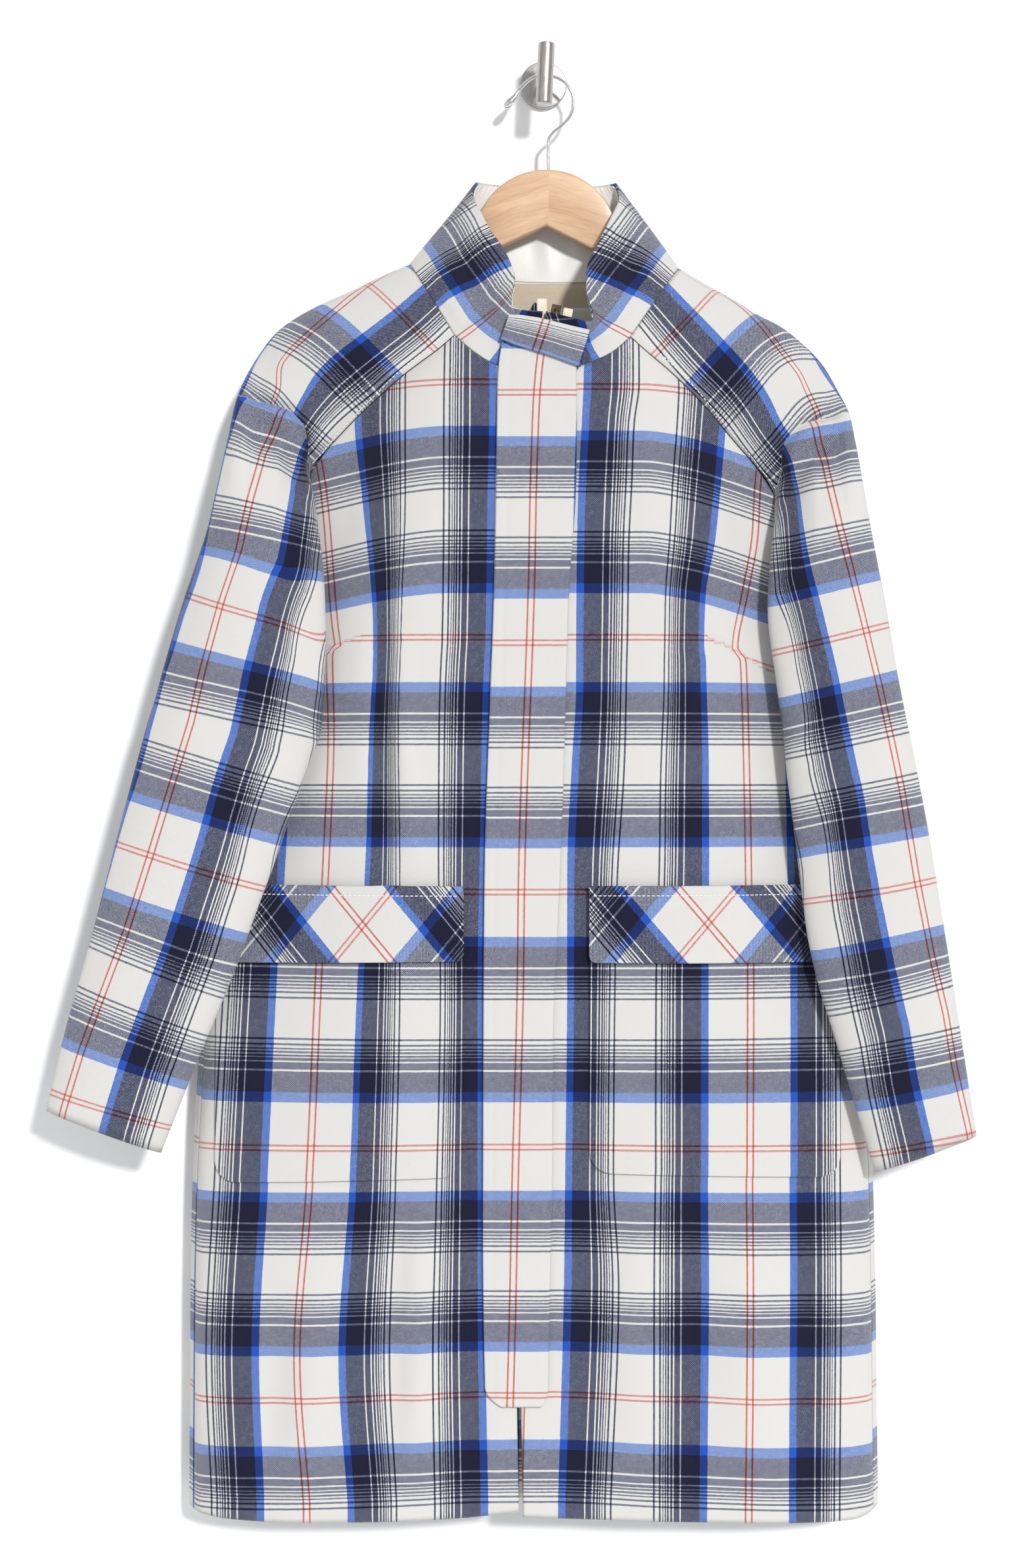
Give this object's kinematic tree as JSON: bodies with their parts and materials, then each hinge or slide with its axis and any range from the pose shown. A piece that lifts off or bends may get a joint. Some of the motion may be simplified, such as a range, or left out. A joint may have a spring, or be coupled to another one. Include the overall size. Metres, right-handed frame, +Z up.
{
  "type": "stand collar coat on hanger and wall hook",
  "caption": "Knee-length plaid wool coat with stand collar, raglan sleeves, covered front zip and flap patch pockets, hung on a wooden hanger and steel wall hook.",
  "frame": {"origin": "centre of the wall plate's back face, on the wall", "axes": "+X to the right of the front view, +Y into the wall, +Z up; the coat hangs in front of the wall at negative y"},
  "size_m": [0.7771, 0.1043, 1.2411],
  "materials": {
    "plaid": "brushed wool twill plaid, cream, navy, blue and red",
    "satin": "white satin lining",
    "label": "plain beige ribbed tape",
    "white_label": "plain white satin tape",
    "zip_plastic": "cream moulded stops",
    "zip_metal": "dark brass slider",
    "wood": "light lacquered beech",
    "chrome": "bright wire",
    "steel": "brushed steel"
  },
  "bodies": {
    "root": {"front_right": "plaid", "front_left": "plaid", "back": "plaid", "sleeve_front_right": "plaid", "sleeve_back_right": "plaid", "sleeve_front_left": "plaid", "sleeve_back_left": "plaid", "collar_outer": "plaid", "collar_lining": "satin", "placket": "plaid", "collar_tab": "plaid", "pocket_right": "plaid", "pocket_left": "plaid", "flap_right": "plaid", "flap_left": "plaid", "neck_facing": "satin", "label_band": "label", "size_label": "white_label", "zip_guard": "plaid", "zip_stop_right": "zip_plastic", "zip_stop_left": "zip_plastic", "zip_slider": "zip_metal", "hanger_wood": "wood", "hanger_wire": "chrome", "wall_plate": "steel", "wall_stem": "steel", "wall_bar": "steel"}
  },
  "joints": []
}
